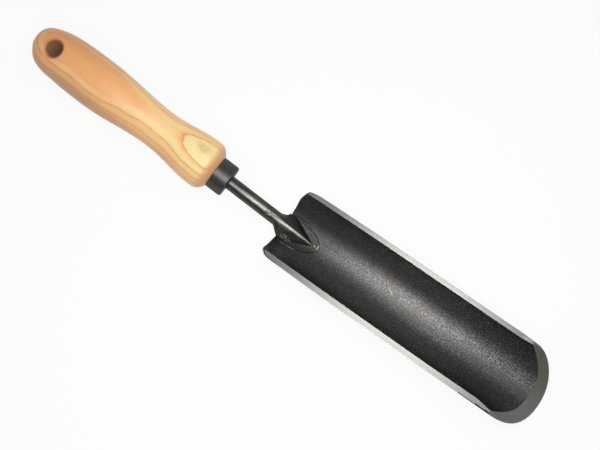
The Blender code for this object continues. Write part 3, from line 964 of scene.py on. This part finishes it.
def make_handle(surfaces):
    """The turned handle, with its tenon and the tang's blind hole, and a hang hole with softened rims.

    Its grid closes in on each mouth of the hole from a square of cells to a circle.
    """
    around, cell, inner, outer = 192, 0.00053, 8, 16
    bulge_rows, row_height, butt_rows = 14, 0.0008, 24
    round_share = 0.3
    crossing = HANDLE_LENGTH - HANG_HOLE_INSET
    shift = handle_radius(crossing) * sin(HANG_HOLE_LEAN)
    first, last = crossing - shift - outer * cell, crossing + shift + outer * cell
    heights = [BULGE_AT * (i / bulge_rows)**1.4 for i in range(bulge_rows)]
    steps = round((first - BULGE_AT) / row_height)
    heights += [BULGE_AT + (first - BULGE_AT) * i / steps for i in range(steps)]
    steps = round((last - first) / cell)
    heights += [first + (last - first) * i / steps for i in range(steps)]
    begin = handle_radius(last) / SWELL_RADIUS
    for i in range(butt_rows):
        level = (begin * cos(pi / 2 * i / butt_rows))**(1.0 / BUTT_BLUNTNESS)
        heights.append(SWELL_AT + BUTT_LENGTH * (1.0 - level)**(1.0 / BUTT_FULLNESS))
    bm = bmesh.new()
    grid = [[bm.verts.new(point) for point in turned_ring(handle_radius(z), z, around, -HANG_HOLE_TURN)]
            for z in heights]

    def face(corners, slot=0):
        bm.faces.new(corners).material_index = slot

    open_cells = set()
    walls = []
    for side in (1, -1):
        hole = HangHole(side)
        row = min(range(len(heights)), key=lambda i: abs(heights[i] - crossing - side * shift))
        column = 0 if side > 0 else around // 2
        open_cells.update((row + i, (column + k) % around)
                          for i in range(-inner, inner) for k in range(-inner, inner))
        for size in range(inner, outer):
            share = (size - inner) / (outer - inner)
            widen = max((share - round_share) / (1.0 - round_share), 0.0)
            radius = HANG_HOLE_RADIUS + HANG_HOLE_ROUND * (1.0 + min(share, round_share))
            for i, k in square_walk(size):
                turn = square_turn(i, k)
                z = heights[row] + cell * i * outer / size
                spin = 2.0 * pi * (column + k * outer / size) / around - HANG_HOLE_TURN
                wood = handle_radius(z)
                far = hole.flat(Vector((wood * cos(spin), wood * sin(spin), z)))
                a = radius * cos(turn) * (1.0 - widen) + far[0] * widen
                b = radius * sin(turn) * (1.0 - widen) + far[1] * widen
                grid[row + i][(column + k) % around].co = hole.at(a, b, hole.reach(a, b))
        ring = [grid[row + i][(column + k) % around] for i, k in square_walk(inner)]
        walls.append(make_rim(bm, hole, ring, [square_turn(i, k) for i, k in square_walk(inner)], face))

    for i in range(len(heights) - 1):
        for k in range(around):
            if (i, k) not in open_cells:
                following = (k + 1) % around
                face((grid[i][k], grid[i + 1][k], grid[i + 1][following], grid[i][following]))
    end = bm.verts.new((0.0, 0.0, HANDLE_LENGTH))
    for k in range(around):
        face((grid[-1][k], end, grid[-1][(k + 1) % around]))
    make_hole_wall(bm, *walls, face)

    mouth = NECK_RADIUS + CLEARANCE
    bore_end = TANG_TIP_RADIUS + CLEARANCE
    depth = TANG_LENGTH - TENON_LENGTH + BORE_END_GAP
    before = grid[0]
    for radius, height in ((TENON_RADIUS, 0.0), (TENON_RADIUS, CLEARANCE - TENON_LENGTH),
                           (mouth, CLEARANCE - TENON_LENGTH), (bore_end, depth)):
        ring = [bm.verts.new(point) for point in turned_ring(radius, height, around, -HANG_HOLE_TURN)]
        join(face, before, ring)
        before = ring
    face(before)
    for vert in bm.verts:
        vert.co.y -= sideways(vert.co)
    loose = [vert for vert in bm.verts if not vert.link_faces]
    bmesh.ops.delete(bm, geom=loose, context="VERTS")
    bmesh.ops.transform(bm, matrix=handle_frame(SHOULDER_AT), verts=bm.verts)
    add_piece("trowel_handle", bm, surfaces, "handle", radians(50.0))


def join(face, before, ring, slot=0):
    """Join two rings of vertices by a band of faces."""
    for k in range(len(ring)):
        following = (k + 1) % len(ring)
        face((before[k], before[following], ring[following], ring[k]), slot)


def make_rim(bm, hole, ring, turns, face):
    """Round a mouth's rim over from the wood's surface into the hole, and return its last ring."""
    steps = 8
    for i in range(1, steps + 1):
        bend = pi / 2 * i / steps
        radius = HANG_HOLE_RADIUS + HANG_HOLE_ROUND * (1.0 - sin(bend))
        drop = HANG_HOLE_ROUND * (1.0 - cos(bend))
        lower = []
        for turn in turns:
            a, b = radius * cos(turn), radius * sin(turn)
            lower.append(bm.verts.new(hole.at(a, b, hole.reach(a, b) - drop)))
        join(face, ring, lower, 1 if i == steps else 2)
        ring = lower
    return ring


def make_hole_wall(bm, upper, lower, face):
    """Join the rims of the two mouths by the hole's wall."""
    count = len(upper)
    matched = [lower[(count // 4 - k) % count] for k in range(count)]
    steps = 26
    before = upper
    for i in range(1, steps + 1):
        ring = matched
        if i < steps:
            ring = [bm.verts.new(high.co.lerp(low.co, i / steps)) for high, low in zip(upper, matched)]
        join(face, before, ring, 1)
        before = ring


def make_floor():
    """A plain pale floor. Its own light lifts what the camera sees of it to near white under the shadow."""
    made = Surface("floor", Base_Color=(0.9, 0.9, 0.9, 1.0), Roughness=0.9, Specular_IOR_Level=0.0)
    path = made.add("LightPath").outputs
    seen = made.math("MAXIMUM", path["Is Camera Ray"],
                     made.math("MAXIMUM", path["Is Glossy Ray"], path["Is Transmission Ray"]))
    glow = made.add("Emission", {"Color": (1.0, 1.0, 1.0, 1.0), "Strength": 1.0}).outputs[0]
    inputs = {0: made.product(seen, FLOOR_GLOW), 1: made.shader.outputs[0], 2: glow}
    mixed = made.add("MixShader", inputs).outputs[0]
    made.feed(made.tree.nodes["Material Output"].inputs["Surface"], mixed)
    bm = bmesh.new()
    bmesh.ops.create_grid(bm, x_segments=8, y_segments=8, size=3.0)
    floor = to_mesh("floor", bm, [made.material])
    floor.location = (0.0, 0.0, cad_low[2] - FLOOR_GAP)


def turned_to(right, back):
    """A rotation whose X axis is right and whose Z axis is back, which lamps and cameras look away from."""
    return Matrix((right, back.cross(right), back)).transposed().to_4x4()


def make_lamp(name, place, aim, length, width, power):
    """A soft box that the camera doesn't see."""
    light = bpy.data.lights.new(name, "AREA")
    light.shape = "RECTANGLE"
    light.size, light.size_y = length, width
    light.energy = power
    lamp = add_object(name, light)
    place = Vector(place)
    back = (place - Vector(aim)).normalized()
    right = (Vector((1.0, 0.0, 0.0)) - back * back.x).normalized()
    lamp.matrix_world = Matrix.Translation(place) @ turned_to(right, back)
    lamp.visible_camera = False


def make_world():
    """A world that is pale at the horizon, more so towards +Y."""
    world = bpy.data.worlds.new("studio")
    world.use_nodes = True
    made = Shading(world.node_tree)
    background = made.tree.nodes["Background"].inputs
    place = made.add("TexCoord").outputs["Generated"]
    split = made.add("SeparateXYZ", {0: place}).outputs
    level = made.product(made.spread(split["Z"], 0.15, 0.75, HORIZON, ZENITH),
                         made.math("MULTIPLY_ADD", split["Y"], FAR_SIDE, 1.0))
    seen = made.add("LightPath").outputs["Is Camera Ray"]
    made.feed(background["Color"], (1.0, 1.0, 1.0, 1.0))
    made.feed(background["Strength"], made.add("Mix", {0: seen, 2: level, 3: 1.0}).outputs[0])
    bpy.context.scene.world = world


def make_camera():
    """A camera at the photograph's angle."""
    back = Vector((sin(CAMERA_AZIMUTH) * cos(CAMERA_ELEVATION), -cos(CAMERA_AZIMUTH) * cos(CAMERA_ELEVATION),
                   sin(CAMERA_ELEVATION)))
    level = Vector((cos(CAMERA_AZIMUTH), sin(CAMERA_AZIMUTH), 0.0))
    right = level * cos(CAMERA_ROLL) + back.cross(level) * sin(CAMERA_ROLL)
    data = bpy.data.cameras.new("camera")
    data.sensor_width = SENSOR_WIDTH
    data.lens = CAMERA_LENS
    data.clip_start = 0.01
    camera = add_object("camera", data)
    camera.matrix_world = Matrix.Translation(CAMERA_TARGET + back * CAMERA_DISTANCE) @ turned_to(right, back)
    bpy.context.scene.camera = camera


make_camera()
for name, values in LAMPS.items():
    make_lamp(name, *values)
make_world()
make_floor()
forged = forged_surface("forged_scale")
# Ground steel painted for the light: the strips are near white with little metal, as a painted reflection,
# the +Y strip is a painted-shade copy darker than the -Y one, and the round end's bevel a darker one still
right_ground_painted_light = ground_surface("ground_right_painted_light", (255, 253, 248), (246, 244, 239), 0.12, 0.45,
                              (0.12, 4.0, 4.0), 0.04, ends=((129, 129, 130), 10.0, 95.0))
left_ground_painted_light = ground_surface("ground_left_painted_light", (222, 220, 215), (206, 204, 200), 0.2, 0.45,
                             (0.12, 4.0, 4.0), 0.04, ends=((124, 124, 125), 8.0, 85.0))
tip_ground_painted_shade = ground_surface("ground_tip_painted_shade", (122, 122, 123), (110, 109, 109), 0.35, 0.58,
                            (2.5, 0.5, 0.5), 0.012, tip=(102, 100, 93))
make_blade([forged, right_ground_painted_light, tip_ground_painted_shade, left_ground_painted_light])
# The leaf's rim is a flat tone with painted highlights at its tip, and its edge is painted dark as shade
make_shank([neck_surface(), forged_surface("worn_scale", 0.75, glints=LEAF_GLINTS),
            forged_surface("edge_painted_shade", 0.9, (30, 29, 28))])
weld = weld_surface()
make_weld("trowel_weld_left", 1, 0.08, weld, "weld_bead_left")
make_weld("trowel_weld_right", -1, 0.18, weld, "weld_bead_right")
make_ferrule(ferrule_surface())
make_handle([wood_surface("ash"), wood_surface("ash_hole", hole=True), wood_surface("ash_rim", rim=True)])

bpy.context.scene.view_settings.view_transform = "Standard"
